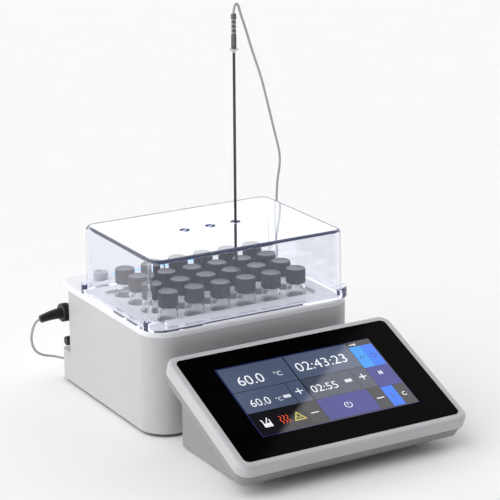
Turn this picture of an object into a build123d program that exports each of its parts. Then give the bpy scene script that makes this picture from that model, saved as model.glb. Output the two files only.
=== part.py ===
from build123d import *
import os
from math import cos, pi, radians, sin, tan

os.makedirs("parts", exist_ok=True)

# Dry block heater with a clear cover, 24 capped vials, a sample probe and a separate touch pad.
# Millimetres, +Z up. The origin is under the middle of the whole set, on the bench.
# Heater pieces are drawn about the middle of the vial grid, pad pieces about the middle of its glass.

# Housing
housing_w = 206.0
housing_d = 190.0
housing_corner = 25.0
rear_corner = 15.0
housing_wall = 2.5
shell_bottom = 3.0
deck_bottom = 91.0
deck_top = 96.0
deck_edge = 3.0
skirt_outer = 2.7
skirt_inner = 4.7
skirt_h = 5.0
front_to_grid = 81.0

# Vial grid and block
columns = 6
rows = 4
pitch = 26.0
block_margin_x = 7.0
block_margin_y = 1.6
block_top = 93.5
block_height = 55.0
block_gap = 0.5
block_corner = 4.0
well_gap = 0.4
well_depth = 38.0
well_chamfer = 0.9
thermowell_depth = 38.5
jacket_gap = 0.3
jacket_wall_most = 6.0
jacket_floor_gap = 3.5
jacket_floor_t = 5.5
running_gap = 0.05
seat_gap = 0.1

# Vials
vial_r = 8.5
vial_wall = 1.1
vial_above_block = 8.3
shoulder_h = 2.6
neck_step = 2.2
neck_h = 12.0
cap_over = 0.3
cap_h = 13.5
cap_top_t = 1.2
liner_t = 1.0
fit_gap = 0.15

# Cover
cover_wall = 3.0
cover_seat_gap = 0.1
cover_side_gap = 6.0
cover_front_gap = 6.4
cover_depth = 140.2
cover_rise = 61.7
cover_draft = 1.1
cover_corner = 12.0
cover_top_edge = 3.0
flange_w = 5.0
flange_t = 3.0
corner_block = 15.0
corner_block_h = 8.5
notch_w = 108.0
notch_depth = 2.6
cover_hole_r = 4.75

# Niche with the sockets, at the rear left
niche_depth = 19.0
niche_w = 26.0
ledge_z = 31.0
ledge_round = 9.0
probe_socket_z = 66.5
spare_socket_z = 38.2

# Temperature probe and its cable
rod_r = 1.25
rod_top = 316.0
collar_r = 4.2
collar_t = 1.6
grip_r = 2.4
grip_h = 30.5
cable_r = 1.15
cable_lift = 0.1

# Plug of the probe
plug_r = 8.6
plug_len = 20.0
plug_seat = 3.0
relief_len = 20.5
relief_droop = 8.0
relief_r0 = 5.2
relief_r1 = 3.6
nose_r = 5.0
nose_len = 6.0

# Pad
pad_w = 224.0
pad_h = 142.0
pad_corner = 11.0
pad_tilt = 22.5
pad_offset_x = 10.0
pad_behind_gap = 19.6
pad_front_z = 27.98
bezel_t = 11.0
bezel_rim = 7.0
bezel_wall = 3.0
bezel_edge = 3.5
glass_t = 2.0
glass_corner = 5.0
glass_gap = 0.2
glass_ledge = 4.0
display_w = 154.08
display_h = 85.92
display_up = 1.7
display_border = 5.0
display_t = 5.0
display_gap = 0.3
seam = 0.9
tray_inset = 1.4
tray_t = 11.0
tray_taper = 14.0
tray_wall = 2.5
foot_side = 15.0
foot_wall = 2.5
foot_bottom = 1.6
foot_front_share = 0.45
foot_rear_step = 0.2
rubber_r = 8.0

# Base
base_gap = 0.3
base_bottom = 1.8
base_top = 6.0
base_inset = 1.5
screw_r = 1.5
screw_head_r = 2.8
screw_head_t = 2.0
boss = 10.0
boss_top = 24.0

# Rear fittings
inlet_x = 50.0
switch_x = 8.0
fitting_z = 42.0
fitting_flange = 2.0
inlet_w = 27.0
inlet_h = 34.0
inlet_body = 22.0
rocker_r = 8.0
rocker_w = 10.6

# Small deck fittings
knob_from_left = 36.3
knob_from_rear = 21.0
knob_r = 7.4
knob_h = 6.8
knob_stem_r = 5.0
light_from_rear = 14.0
light_w = 102.0
light_d = 4.0

# ---------------------------------------------------------------- helpers


def slab(rect, z0, z1, corner=0.0):
    """A plate over rect = (x0, x1, y0, y1), from z0 to z1, with rounded plan corners."""
    x0, x1, y0, y1 = rect
    place = Pos((x0 + x1) / 2, (y0 + y1) / 2, z0)
    if corner > 0:
        outline = RectangleRounded(x1 - x0, y1 - y0, corner)
    else:
        outline = Rectangle(x1 - x0, y1 - y0)
    return place * extrude(outline, z1 - z0)


def housing_slab(by, z0, z1):
    """A plate over the housing's plan, moved in by this much, with its front and rear corners rounded."""
    x0, x1, y0, y1 = inset(housing, by)
    outline = Rectangle(x1 - x0, y1 - y0)
    outline = fillet(outline.vertices().group_by(Axis.Y)[0], housing_corner - by)
    outline = fillet(outline.vertices().group_by(Axis.Y)[-1], rear_corner - by)
    return Pos((x0 + x1) / 2, (y0 + y1) / 2, z0) * extrude(outline, z1 - z0)


def inset(rect, by):
    """The rectangle with each side moved in by this much."""
    x0, x1, y0, y1 = rect
    return (x0 + by, x1 - by, y0 + by, y1 - by)


def rod(x, y, z0, z1, r):
    """An upright cylinder from z0 to z1."""
    return Pos(x, y, z0) * extrude(Circle(r), z1 - z0)


def bar_x(x0, x1, y, z, r):
    """A round bar along X."""
    return Pos(x0, y, z) * Rot(0, 90, 0) * extrude(Circle(r), x1 - x0)


def bar_y(x, y0, y1, z, r):
    """A round bar along Y."""
    return Pos(x, y0, z) * Rot(-90, 0, 0) * extrude(Circle(r), y1 - y0)


def turned(points):
    """A body turned about Z from its half outline of (radius, height) points."""
    outline = make_face(Polyline(*[(r, 0, z) for r, z in points], close=True))
    return revolve(outline, Axis.Z)


def save(name, pieces, place):
    """Writes one sub-part, made of one or more separate solids, where it belongs."""
    solids = pieces if isinstance(pieces, list) else [pieces]
    solids = [s for piece in solids for s in piece.solids()]
    shape = solids[0] if len(solids) == 1 else Compound(solids)
    export_step(place * shape, f"parts/{name}.step")


# ---------------------------------------------------------------- places

well_r = vial_r + well_gap
cap_r = vial_r + cap_over
neck_r = vial_r - neck_step
housing = (-housing_w / 2, housing_w / 2, -front_to_grid, housing_d - front_to_grid)
left, right, front, rear = housing
grid = [
    (pitch * (i - (columns - 1) / 2), pitch * (j - (rows - 1) / 2))
    for j in range(rows)
    for i in range(columns)
]
thermowells = [-pitch, 0.0, pitch]
probe_x = thermowells[-1]
block_half_x = pitch * (columns - 1) / 2 + well_r + block_margin_x
block_half_y = pitch * (rows - 1) / 2 + well_r + block_margin_y
block = (-block_half_x, block_half_x, -block_half_y, block_half_y)
opening = inset(block, -block_gap)
block_bottom = block_top - block_height
well_floor = block_top - well_depth

plug_knob_x = left + knob_from_left
plug_knob_y = rear - knob_from_rear
light_y = rear - light_from_rear

niche_x = left + niche_depth
niche_y = rear - niche_w
socket_y = niche_y + niche_w / 2

cover_front = front + cover_front_gap
cover_foot = (left + cover_side_gap, right - cover_side_gap, cover_front, cover_front + cover_depth)

pad_angle = radians(pad_tilt)
pad_half_depth = pad_h / 2 * cos(pad_angle)
pad_in_front = front_to_grid + pad_behind_gap + pad_half_depth
pad_face_z = pad_front_z + pad_h / 2 * sin(pad_angle)
pad_reach = pad_in_front + pad_half_depth
foot_w = pad_w - 2 * foot_side
foot_front_back = foot_front_share * pad_half_depth
foot_rear_back = pad_half_depth - foot_rear_step
heater_x = (housing_w / 2 - pad_offset_x - pad_w / 2) / 2
heater_y = (pad_reach - rear - fitting_flange) / 2
heater_place = Pos(heater_x, heater_y, 0)
pad_face_place = Pos(heater_x + pad_offset_x, heater_y - pad_in_front, pad_face_z) * Rot(pad_tilt, 0, 0)
pad_floor_place = Pos(heater_x + pad_offset_x, heater_y - pad_in_front, 0)

boss_x = housing_w / 2 - housing_wall - boss / 2
boss_spots = [(sx * boss_x, y) for sx in (-1, 1) for y in (front + 33, rear - 51)]
post_x = block_half_x - 12.9
post_y = block_half_y - 11.5
post_spots = [(sx * post_x, sy * post_y) for sx in (-1, 1) for sy in (-1, 1)]
foot_spots = [(sx * (housing_w / 2 - 24), y) for sx in (-1, 1) for y in (front + 24, rear - 24)]

# ---------------------------------------------------------------- housing


def niche_cut():
    """The niche's space: open to the left, to the rear and up to the deck, with a rounded ledge below."""
    far = rear + 5
    step = ledge_z - ledge_round
    inner_corner = (niche_y, ledge_z)
    outline = Polyline((rear, step), (far, step), (far, deck_bottom), (niche_y, deck_bottom), inner_corner)
    outline += Line(inner_corner, (rear - ledge_round, ledge_z))
    outline += RadiusArc((rear - ledge_round, ledge_z), (rear, step), ledge_round)
    return Plane.YZ.offset(left - 5) * extrude(make_face(outline), niche_depth + 5)


def housing_shell():
    outer = housing_slab(0, shell_bottom, deck_bottom)
    inner = housing_slab(housing_wall, shell_bottom, deck_bottom)
    niche_walls = slab(
        (left, niche_x + housing_wall, niche_y - housing_wall, rear),
        ledge_z - ledge_round - housing_wall,
        deck_bottom,
    )
    shell = outer - (inner - niche_walls) - niche_cut()
    for x, y in boss_spots:
        block_rect = (x - boss / 2, x + boss / 2, y - boss / 2, y + boss / 2)
        shell += slab(inset(block_rect, -0.01), base_top, boss_top)
        shell -= rod(x, y, base_top, boss_top - 2, screw_r + seat_gap)
    shell -= bar_x(niche_x - 1, niche_x + housing_wall + 1, socket_y, probe_socket_z, 7.1)
    shell -= bar_x(niche_x - 1, niche_x + housing_wall + 1, socket_y, spare_socket_z, 4.1)
    for x, half_w, half_h in ((inlet_x, inlet_w / 2, inlet_h / 2), (switch_x, switch_half_w, switch_half_h)):
        hole = (x - half_w - seat_gap, x + half_w + seat_gap, rear - housing_wall - 1, rear + 1)
        shell -= slab(hole, fitting_z - half_h - seat_gap, fitting_z + half_h + seat_gap)
    return shell


def top_deck():
    deck = housing_slab(0, deck_bottom, deck_top)
    deck = fillet(deck.faces().sort_by(Axis.Z)[-1].edges(), deck_edge)
    skirt = housing_slab(skirt_outer, deck_bottom - skirt_h, deck_bottom)
    skirt -= housing_slab(skirt_inner, deck_bottom - skirt_h, deck_bottom)
    clear_of_niche = (left, niche_x + housing_wall + 0.3, niche_y - housing_wall - 0.3, rear)
    skirt -= slab(clear_of_niche, deck_bottom - skirt_h - 1, deck_bottom)
    deck += skirt
    deck -= slab(opening, deck_bottom - 1, deck_top + 1, block_corner)
    deck -= rod(plug_knob_x, plug_knob_y, deck_bottom - 1, deck_top + 1, knob_stem_r + running_gap)
    slot = (-light_w / 2, light_w / 2, light_y - light_d / 2, light_y + light_d / 2)
    deck -= slab(inset(slot, -0.2), deck_bottom - 1, deck_top + 1, light_d / 2)
    return deck


def base_plate():
    plate = housing_slab(base_inset, base_bottom, shell_bottom)
    plate += housing_slab(housing_wall + base_gap, shell_bottom, base_top)
    for x, y in boss_spots:
        plate -= rod(x, y, base_bottom - 1, base_top + 1, screw_r + seat_gap)
        plate -= rod(x, y, base_bottom - 1, base_bottom + screw_head_t, screw_head_r + seat_gap)
    for k in range(7):
        vent = (7.0 * k - 22.5, 7.0 * k - 19.5, rear - 45, rear - 17)
        plate -= slab(vent, base_bottom - 1, base_top + 1, 1.4)
    return plate


def base_screws():
    made = []
    for x, y in boss_spots:
        head = rod(x, y, base_bottom + 0.2, base_bottom + screw_head_t, screw_head_r)
        made.append(head + rod(x, y, base_bottom + screw_head_t, boss_top - 4, screw_r))
    return made


def rubber_feet():
    return [rod(x, y, 0, base_bottom, rubber_r) for x, y in foot_spots]


# ---------------------------------------------------------------- block and its heater


def heating_block():
    body = slab(block, block_bottom, block_top, block_corner - block_gap)
    body = chamfer(body.faces().sort_by(Axis.Z)[-1].edges(), 0.6)
    for x, y in grid:
        body -= rod(x, y, well_floor, block_top + 1, well_r)
        mouth = Cone(well_r, well_r + well_chamfer, well_chamfer)
        body -= Pos(x, y, block_top - well_chamfer / 2) * mouth
    for x in thermowells:
        body -= rod(x, 0, block_top - thermowell_depth, block_top + 1, rod_r + running_gap)
    for x, y in post_spots:
        body -= rod(x, y, block_bottom, block_bottom + 10, screw_r + seat_gap)
    body -= bar_y(0, block_half_y - 30, block_half_y + 1, block_bottom + 7, 2.0 + running_gap)
    return body


mat_t = 1.5
clamp_t = 3.0
mat_bottom = block_bottom - mat_t
clamp_bottom = mat_bottom - clamp_t
jacket_floor = clamp_bottom - jacket_floor_gap
jacket_bottom = jacket_floor - jacket_floor_t
jacket_room = min(right - block_half_x, -front - block_half_y) - skirt_inner - 2 * jacket_gap
jacket_wall = min(jacket_wall_most, jacket_room)


def heater_mat():
    mat = slab(inset(block, 5), mat_bottom, block_bottom, 4)
    for x, y in post_spots:
        mat -= rod(x, y, mat_bottom, block_bottom, screw_r + 0.5)
    return mat


def clamp_plate():
    plate = slab(inset(block, 3), clamp_bottom, mat_bottom, 4)
    for x, y in post_spots:
        plate -= rod(x, y, clamp_bottom, mat_bottom, screw_r + seat_gap)
    return plate


def clamp_screws():
    made = []
    for x, y in post_spots:
        head = rod(x, y, clamp_bottom - screw_head_t, clamp_bottom, screw_head_r)
        made.append(head + rod(x, y, clamp_bottom, block_bottom + 9, screw_r))
    return made


def insulation_jacket():
    cavity = inset(block, -jacket_gap)
    outside = inset(cavity, -jacket_wall)
    jacket = slab(outside, jacket_bottom, deck_bottom - jacket_gap, 9)
    jacket -= slab(cavity, jacket_floor, deck_bottom, 4)
    jacket -= bar_y(0, block_half_y - 1, block_half_y + 12, block_bottom + 7, 3.0)
    return jacket


def block_posts():
    return [rod(x, y, base_top, jacket_bottom, 5.0) for x, y in post_spots]


def block_sensor():
    z = block_bottom + 7
    return bar_y(0, block_half_y - 28, block_half_y + 4, z, 2.0) + bar_y(
        0, block_half_y + 4, block_half_y + 9, z, 2.6
    )


def thermal_fuse():
    rect = (-post_x + 8, -post_x + 24, post_y - 6.5, post_y + 5.5)
    return slab(rect, jacket_floor, clamp_bottom, 1.5)


# ---------------------------------------------------------------- electronics

board_bottom = 14.0
board = (-30.0, 84.0, rear - 45, rear - 7)
hole_rect = inset(board, 4)
board_corners = [(x, y) for x in hole_rect[:2] for y in hole_rect[2:]]


def control_board():
    made = slab(board, board_bottom, board_bottom + 1.6, 2)
    for x, y in board_corners:
        made -= rod(x, y, board_bottom, board_bottom + 1.6, 1.5)
    return made


def board_standoffs():
    return [rod(x, y, base_top, board_bottom, 2.8) for x, y in board_corners]


def board_parts():
    top = board_bottom + 1.6
    edge = board[2]
    chip = slab((-8.0, 6.0, edge + 12, edge + 26), top, top + 1.6)
    relay = slab((-26.0, -14.0, edge + 8, edge + 28), top, top + 6)
    capacitors = [rod(x, edge + 8, top, top + 6.5, 3.0) for x in (14.0, 22.0, 30.0)]
    sink = slab((40.0, 76.0, edge + 4, edge + 12), top, top + 6)
    for k in range(6):
        sink -= slab((42.5 + 5.6 * k, 45.3 + 5.6 * k, edge + 3, edge + 13), top + 2, top + 7)
    return [chip, relay, sink] + capacitors


def power_supply():
    return slab((-44.0, 44.0, -26.0, 26.0), base_top, jacket_bottom - 1.0, 2)


# ---------------------------------------------------------------- rear fittings


def mains_inlet():
    flange = (inlet_x - inlet_w / 2 - 3, inlet_x + inlet_w / 2 + 3, rear, rear + fitting_flange)
    body = (inlet_x - inlet_w / 2, inlet_x + inlet_w / 2, rear - inlet_body, rear + 0.01)
    made = slab(flange, fitting_z - inlet_h / 2 - 3, fitting_z + inlet_h / 2 + 3)
    made += slab(body, fitting_z - inlet_h / 2, fitting_z + inlet_h / 2)
    socket = (inlet_x - 12, inlet_x + 12, rear - 14, rear + 3)
    made -= slab(socket, fitting_z - 4, fitting_z + 14)
    drawer = (inlet_x - 11, inlet_x + 11, rear - 16, rear + 3)
    return made - slab(inset(drawer, -0.3), fitting_z - 15.3, fitting_z - 6.7)


def inlet_pins():
    made = []
    for dx, dz in ((-7.0, 2.0), (7.0, 2.0), (0.0, 6.0)):
        pin = (inlet_x + dx - 1, inlet_x + dx + 1, rear - 14, rear - 2)
        made.append(slab(pin, fitting_z + dz - 2, fitting_z + dz + 2))
    return made


def fuse_drawer():
    body = (inlet_x - 11, inlet_x + 11, rear - 15, rear + fitting_flange - 0.4)
    made = slab(body, fitting_z - 15, fitting_z - 7)
    grip = (inlet_x - 4, inlet_x + 4, rear + fitting_flange - 1.4, rear + fitting_flange)
    return made - slab(grip, fitting_z - 12.5, fitting_z - 9.5)


rocker_pivot_y = rear - 2.5
switch_half_w = rocker_w / 2 + 2.2
switch_half_h = rocker_r + 2.5


def switch_frame():
    body = (switch_x - switch_half_w, switch_x + switch_half_w, rear - 14, rear + 0.01)
    flange = (body[0] - 2, body[1] + 2, rear, rear + fitting_flange)
    made = slab(flange, fitting_z - switch_half_h - 2, fitting_z + switch_half_h + 2)
    made += slab(body, fitting_z - switch_half_h, fitting_z + switch_half_h)
    window = (switch_x - rocker_w / 2 - 0.4, switch_x + rocker_w / 2 + 0.4, rear - 12, rear + 3)
    return made - slab(window, fitting_z - rocker_r - 0.5, fitting_z + rocker_r + 0.5)


def power_rocker():
    drum = bar_x(switch_x - rocker_w / 2, switch_x + rocker_w / 2, rocker_pivot_y, fitting_z, rocker_r)
    for lean in (82.0, 114.0):
        trim = Pos(0, 5.0, 0) * Box(40, 10, 60, align=(Align.CENTER, Align.MIN, Align.CENTER))
        drum -= Pos(switch_x, rocker_pivot_y, fitting_z) * Rot(lean - 90, 0, 0) * trim
    back = Box(40, 10, 60, align=(Align.CENTER, Align.MAX, Align.CENTER))
    return drum - Pos(switch_x, rocker_pivot_y - 3.0, fitting_z) * back


# ---------------------------------------------------------------- deck fittings


def rod_socket():
    tube = rod(plug_knob_x, plug_knob_y, deck_bottom - 34, deck_bottom, 8.0)
    return tube - rod(plug_knob_x, plug_knob_y, deck_bottom - 30, deck_bottom, knob_stem_r + running_gap)


def rod_socket_plug():
    head = rod(0, 0, deck_top + 0.1, deck_top + knob_h, knob_r)
    head = fillet(head.faces().sort_by(Axis.Z)[-1].edges(), 0.8)
    head += rod(0, 0, deck_bottom - 8, deck_top + 0.1, knob_stem_r)
    head -= slab((-0.9, 0.9, -5.8, 5.8), deck_top + knob_h - 2.2, deck_top + knob_h + 1)
    return Pos(plug_knob_x, plug_knob_y, 0) * head


def status_light():
    strip = (-light_w / 2, light_w / 2, light_y - light_d / 2, light_y + light_d / 2)
    return slab(strip, deck_bottom - 2, deck_top + 0.2, light_d / 2 - 0.1)


def light_board():
    strip = (-light_w / 2, light_w / 2, light_y - 3.5, light_y + 3.5)
    return slab(strip, deck_bottom - 4.6, deck_bottom - 3.0)


# ---------------------------------------------------------------- niche sockets and the probe's plug


def probe_socket():
    made = bar_x(niche_x - 2, niche_x, socket_y, probe_socket_z, 10.0)
    made += bar_x(niche_x, niche_x + 8, socket_y, probe_socket_z, 7.0)
    return made - bar_x(niche_x - 3, niche_x + nose_len, socket_y, probe_socket_z, nose_r + 0.1)


plug_root = niche_x - 2.3
plug_end = plug_root - plug_len
relief_tilt = radians(relief_droop)


def probe_plug():
    made = bar_x(plug_end + 2, plug_root, socket_y, probe_socket_z, plug_r - 0.9)
    made += bar_x(plug_end, plug_end + 8, socket_y, probe_socket_z, plug_r)
    made += bar_x(plug_root, plug_root + nose_len, socket_y, probe_socket_z, nose_r)
    return chamfer(made.edges().filter_by(GeomType.CIRCLE).group_by(Axis.X)[0], 1.2)


def plug_relief():
    ribs = 9
    step = relief_len / ribs
    slope = (relief_r0 - relief_r1) / relief_len
    points = [(0, -1.5), (relief_r0 - 0.7, -1.5), (relief_r0 - 0.7, 0)]
    for k in range(ribs):
        r = relief_r0 - slope * step * k
        rib_end = step * (k + 0.6)
        points += [(r, step * k), (r, rib_end), (r - 0.7, rib_end), (r - 0.7, step * (k + 1))]
    points.append((0, relief_len))
    drooped = Pos(plug_end, socket_y, probe_socket_z) * Rot(0, -90 - relief_droop, 0) * turned(points)
    return drooped - bar_x(plug_end, plug_end + 5, socket_y, probe_socket_z, plug_r)


def spare_socket():
    made = bar_x(niche_x - 1.5, niche_x, socket_y, spare_socket_z, 7.0)
    made += bar_x(niche_x - 8, niche_x - 1.5, socket_y, spare_socket_z, 3.6)
    return made + bar_x(niche_x, niche_x + 6, socket_y, spare_socket_z, 4.0)


def socket_cap():
    made = bar_x(niche_x - 17.5, niche_x - 1.9, socket_y, spare_socket_z, 4.4)
    made = fillet(made.edges().filter_by(GeomType.CIRCLE).group_by(Axis.X)[0], 1.2)
    return made - bar_x(niche_x - 8.3, niche_x, socket_y, spare_socket_z, 3.6 + running_gap)


# ---------------------------------------------------------------- clear cover


def clear_cover():
    x0, x1, y0, y1 = cover_foot
    middle = Pos((x0 + x1) / 2, (y0 + y1) / 2, deck_top + cover_seat_gap)
    w, d = x1 - x0, y1 - y0
    outer = extrude(RectangleRounded(w, d, cover_corner), cover_rise, taper=cover_draft)
    outer = fillet(outer.faces().sort_by(Axis.Z)[-1].edges(), cover_top_edge)
    room = RectangleRounded(w - 2 * cover_wall, d - 2 * cover_wall, cover_corner - cover_wall)
    flange_plan = RectangleRounded(w + 2 * flange_w, d + 2 * flange_w, cover_corner + flange_w)
    made = outer + extrude(flange_plan, flange_t)
    raised = extrude(flange_plan, corner_block_h)
    raised = fillet(raised.faces().sort_by(Axis.Z)[-1].edges(), 1.5)
    block_x = w / 2 + flange_w - corner_block / 2
    block_y = d / 2 + flange_w - corner_block / 2
    for sx in (-1, 1):
        for sy in (-1, 1):
            near = Pos(sx * block_x, sy * block_y, 0) * Box(corner_block, corner_block, 2 * corner_block_h)
            made += raised & near
    made -= extrude(room, cover_rise - cover_wall, taper=cover_draft)
    notch_y = -d / 2 - flange_w
    notch = make_face(
        Polyline(
            (-notch_w / 2, notch_y - 1),
            (-notch_w / 2 + 4, notch_y + notch_depth),
            (notch_w / 2 - 4, notch_y + notch_depth),
            (notch_w / 2, notch_y - 1),
            close=True,
        )
    )
    made -= Pos(0, 0, -1) * extrude(notch, flange_t + 2)
    for x in thermowells:
        made -= rod(x, -(y0 + y1) / 2, cover_rise - 2 * cover_wall, cover_rise + 1, cover_hole_r)
    return middle * made


# ---------------------------------------------------------------- vials

vial_bottom = well_floor + seat_gap
shoulder_z = block_top + vial_above_block
neck_bottom = shoulder_z + shoulder_h
neck_top = neck_bottom + neck_h
cap_bottom = neck_top + liner_t + cap_top_t - cap_h


def vial_glass():
    glass = turned(
        [
            (0, vial_bottom),
            (vial_r - 1, vial_bottom),
            (vial_r, vial_bottom + 1),
            (vial_r, shoulder_z),
            (neck_r, neck_bottom),
            (neck_r, neck_top),
            (neck_r - vial_wall, neck_top),
            (neck_r - vial_wall, neck_bottom),
            (vial_r - vial_wall, shoulder_z - 0.6),
            (vial_r - vial_wall, vial_bottom + 2),
            (0, vial_bottom + 2),
        ]
    )
    return [Pos(x, y, 0) * glass for x, y in grid]


def vial_caps():
    cap = rod(0, 0, cap_bottom, cap_bottom + cap_h, cap_r)
    cap = fillet(cap.faces().sort_by(Axis.Z)[-1].edges(), 0.9)
    cap -= rod(0, 0, cap_bottom - 1, neck_top + liner_t, neck_r + fit_gap)
    return [Pos(x, y, 0) * cap for x, y in grid]


def vial_liners():
    return [rod(x, y, neck_top, neck_top + liner_t, neck_r) for x, y in grid]


# ---------------------------------------------------------------- probe

rod_tip = block_top - thermowell_depth + seat_gap
collar_z = rod_top - collar_t
grip_top = rod_top + grip_h


def probe_rod():
    made = rod(probe_x, 0, rod_tip, rod_top, rod_r)
    return chamfer(made.faces().sort_by(Axis.Z)[0].edges(), 0.6)


def probe_collar():
    made = rod(probe_x, 0, collar_z, rod_top, collar_r) + rod(probe_x, 0, collar_z - 2.2, collar_z, 1.9)
    return made - rod(probe_x, 0, collar_z - 3, rod_top + 1, rod_r + running_gap)


def probe_grip():
    points = [(0, 0), (grip_r, 0), (grip_r, 12.0), (1.8, 13.5)]
    for k in range(3):
        z = 15.0 + 3.9 * k
        points += [(1.8, z), (2.2, z), (2.2, z + 1.5), (1.8, z + 1.5)]
    points += [(1.8, 25.5), (2.35, 25.6), (2.35, grip_h), (0, grip_h)]
    return Pos(probe_x, 0, rod_top) * turned(points)


# The cable leaves the grip's top, folds over, falls behind the heater's right rear corner, lies on the
# bench behind it and comes up round the rear left corner to the plug. In the air its points are shares of
# the way to the right and rear faces, with heights above the grip's top. Behind the heater they are
# distances from its right, left and rear faces.
relief_end_x = plug_end - relief_len * cos(relief_tilt)
relief_end_z = probe_socket_z - relief_len * sin(relief_tilt)
lie = cable_r + cable_lift


def in_air(share_x, share_y, above):
    return (probe_x + share_x * (right - probe_x), share_y * rear, grip_top + above)


cable_route = [
    (probe_x, 0.0, grip_top),
    (probe_x, 0.0, grip_top + 4.0),
    in_air(0.031, 0.008, 8.5),
    in_air(0.083, 0.027, 7.1),
    in_air(0.132, 0.051, -1.9),
    in_air(0.234, 0.110, -14.5),
    in_air(0.442, 0.234, -42.5),
    in_air(0.682, 0.390, -69.0),
    in_air(0.916, 0.550, -102.5),
    in_air(1.149, 0.716, -135.0),
    in_air(1.318, 0.835, -157.5),
    in_air(1.377, 0.904, -172.5),
    in_air(1.377, 0.954, -189.5),
    (right + 31.5, rear + 1.0, 122.0),
    (right + 36.5, rear + 5.5, 78.0),
    (right + 40.5, rear + 13.0, 38.0),
    (right + 35.0, rear + 27.0, 10.0),
    (right + 15.0, rear + 43.0, lie),
    (0.816 * right, rear + 57.0, lie + 0.05),
    (0.388 * right, rear + 63.0, lie),
    (0.078 * left, rear + 57.0, lie + 0.05),
    (0.485 * left, rear + 44.0, lie + 0.05),
    (left + 23.0, rear + 28.0, 4.0),
    (left + 7.0, rear + 13.0, 13.0),
    (left - 5.0, rear + 1.0, 20.5),
    (left - 17.0, socket_y + 6.0, 25.5),
    (left - 28.0, socket_y + 2.0, 32.0),
    (left - 33.0, socket_y + 0.5, 43.0),
    (left - 32.0, socket_y + 0.1, 54.0),
    (relief_end_x - 4.0 * cos(relief_tilt), socket_y, relief_end_z - 4.0 * sin(relief_tilt)),
    (relief_end_x, socket_y, relief_end_z),
]


def bend_radii(points):
    """Each bend's radius: as large as its two runs allow."""
    made = []
    for a, b, c in zip(points, points[1:], points[2:]):
        first = Vector(*b) - Vector(*a)
        second = Vector(*c) - Vector(*b)
        half_turn = radians(first.get_angle(second)) / 2
        made.append(0.45 * min(first.length, second.length) / tan(half_turn))
    return made


def probe_cable():
    radii = bend_radii(cable_route)
    path = FilletPolyline(*cable_route, radius=radii)
    start = Plane(origin=cable_route[0], z_dir=path % 0)
    tube = sweep(start * Circle(cable_r), path=path)
    print("cable radii", [round(r, 1) for r in radii])
    print("cable length", round(path.length, 1))
    print("cable volume ratio", round(tube.volume / (path.length * pi * cable_r**2), 4))
    return tube


# ---------------------------------------------------------------- pad, drawn on its tilted face

glass = (-(pad_w / 2 - bezel_rim), pad_w / 2 - bezel_rim, -(pad_h / 2 - bezel_rim), pad_h / 2 - bezel_rim)
pad_outline = (-pad_w / 2, pad_w / 2, -pad_h / 2, pad_h / 2)
tray_top = -bezel_t - seam
tray_bottom = tray_top - tray_t


def pad_bezel():
    made = slab(pad_outline, -bezel_t, 0, pad_corner)
    made = fillet(made.faces().sort_by(Axis.Z)[-1].edges(), bezel_edge)
    made -= slab(inset(glass, -glass_gap), -glass_t - 0.1, 1, glass_corner + glass_gap)
    made -= slab(inset(glass, glass_ledge), -bezel_t - 1, 0, glass_corner)
    room = inset(pad_outline, bezel_wall)
    return made - slab(room, -bezel_t - 1, -glass_t - 2.5, pad_corner - bezel_wall)


def pad_glass():
    made = slab(glass, -glass_t, 0.3, glass_corner)
    return fillet(made.faces().sort_by(Axis.Z)[-1].edges(), 0.25)


def pad_display():
    window = inset(glass, glass_ledge + display_gap)
    half_w = min(display_w / 2 + display_border, window[1])
    half_h = min(display_h / 2 + display_border, window[3] - display_up)
    rect = (-half_w, half_w, display_up - half_h, display_up + half_h)
    return slab(rect, -glass_t - display_t, -glass_t, 1)


def pad_tray():
    w = pad_w - 2 * tray_inset
    h = pad_h - 2 * tray_inset
    made = Pos(0, 0, tray_top) * Rot(180, 0, 0) * extrude(
        RectangleRounded(w, h, pad_corner - tray_inset), tray_t, taper=tray_taper
    )
    lip_rect = inset(pad_outline, bezel_wall + 0.3)
    made += slab(lip_rect, tray_top - 1.0, -bezel_t + 3.0, pad_corner - bezel_wall - 0.3)
    shrink = tray_t * tan(radians(tray_taper)) + tray_wall + tray_inset
    room = inset(pad_outline, shrink)
    return made - slab(room, tray_bottom + tray_wall, 0, 3)


def pad_board():
    half_w, half_h = display_w / 2 - 6, display_h / 2 - 2
    return slab((-half_w, half_w, -half_h, half_h), -glass_t - display_t - 5.6, -glass_t - display_t - 4.0, 2)


def pad_board_parts():
    top = -glass_t - display_t - 5.6
    spots = ((-40.0, 10.0, 7.0), (-10.0, -12.0, 5.0), (24.0, 14.0, 8.0), (50.0, -16.0, 4.0))
    return [slab((x - s, x + s, y - s, y + s), top - 1.6, top) for x, y, s in spots]


def pad_profile(z_low, y_front, y_rear, drop):
    """The wedge's side outline in the pad's floor frame: under the tray by drop, down to z_low."""

    def under(y):
        return pad_face_z + y * tan(pad_angle) + (tray_bottom - drop) / cos(pad_angle)

    points = [(y_front, z_low), (y_front, under(y_front)), (y_rear, under(y_rear)), (y_rear, z_low)]
    return make_face(Polyline(*points, close=True))


def pad_foot():
    half = foot_w / 2
    solid = extrude(pad_profile(foot_bottom, -foot_front_back, foot_rear_back, 0.05), foot_w)
    solid = Plane.YZ.offset(-half) * solid
    solid = fillet(solid.edges().filter_by(Axis.Z), 4.0)
    inner = pad_profile(
        foot_bottom + foot_wall, -foot_front_back + foot_wall, foot_rear_back - foot_wall, -5.0
    )
    solid -= Plane.YZ.offset(-half + foot_wall) * extrude(inner, foot_w - 2 * foot_wall)
    return solid - bar_y(0, foot_rear_back - foot_wall - 1, foot_rear_back + 1, 24.0, 6.1)


def pad_port():
    made = bar_y(0, foot_rear_back - 9, foot_rear_back, 24.0, 6.0)
    made += bar_y(0, foot_rear_back, foot_rear_back + 1.2, 24.0, 8.0)
    return made - bar_y(0, foot_rear_back - 7, foot_rear_back + 2, 24.0, 4.2)


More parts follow.
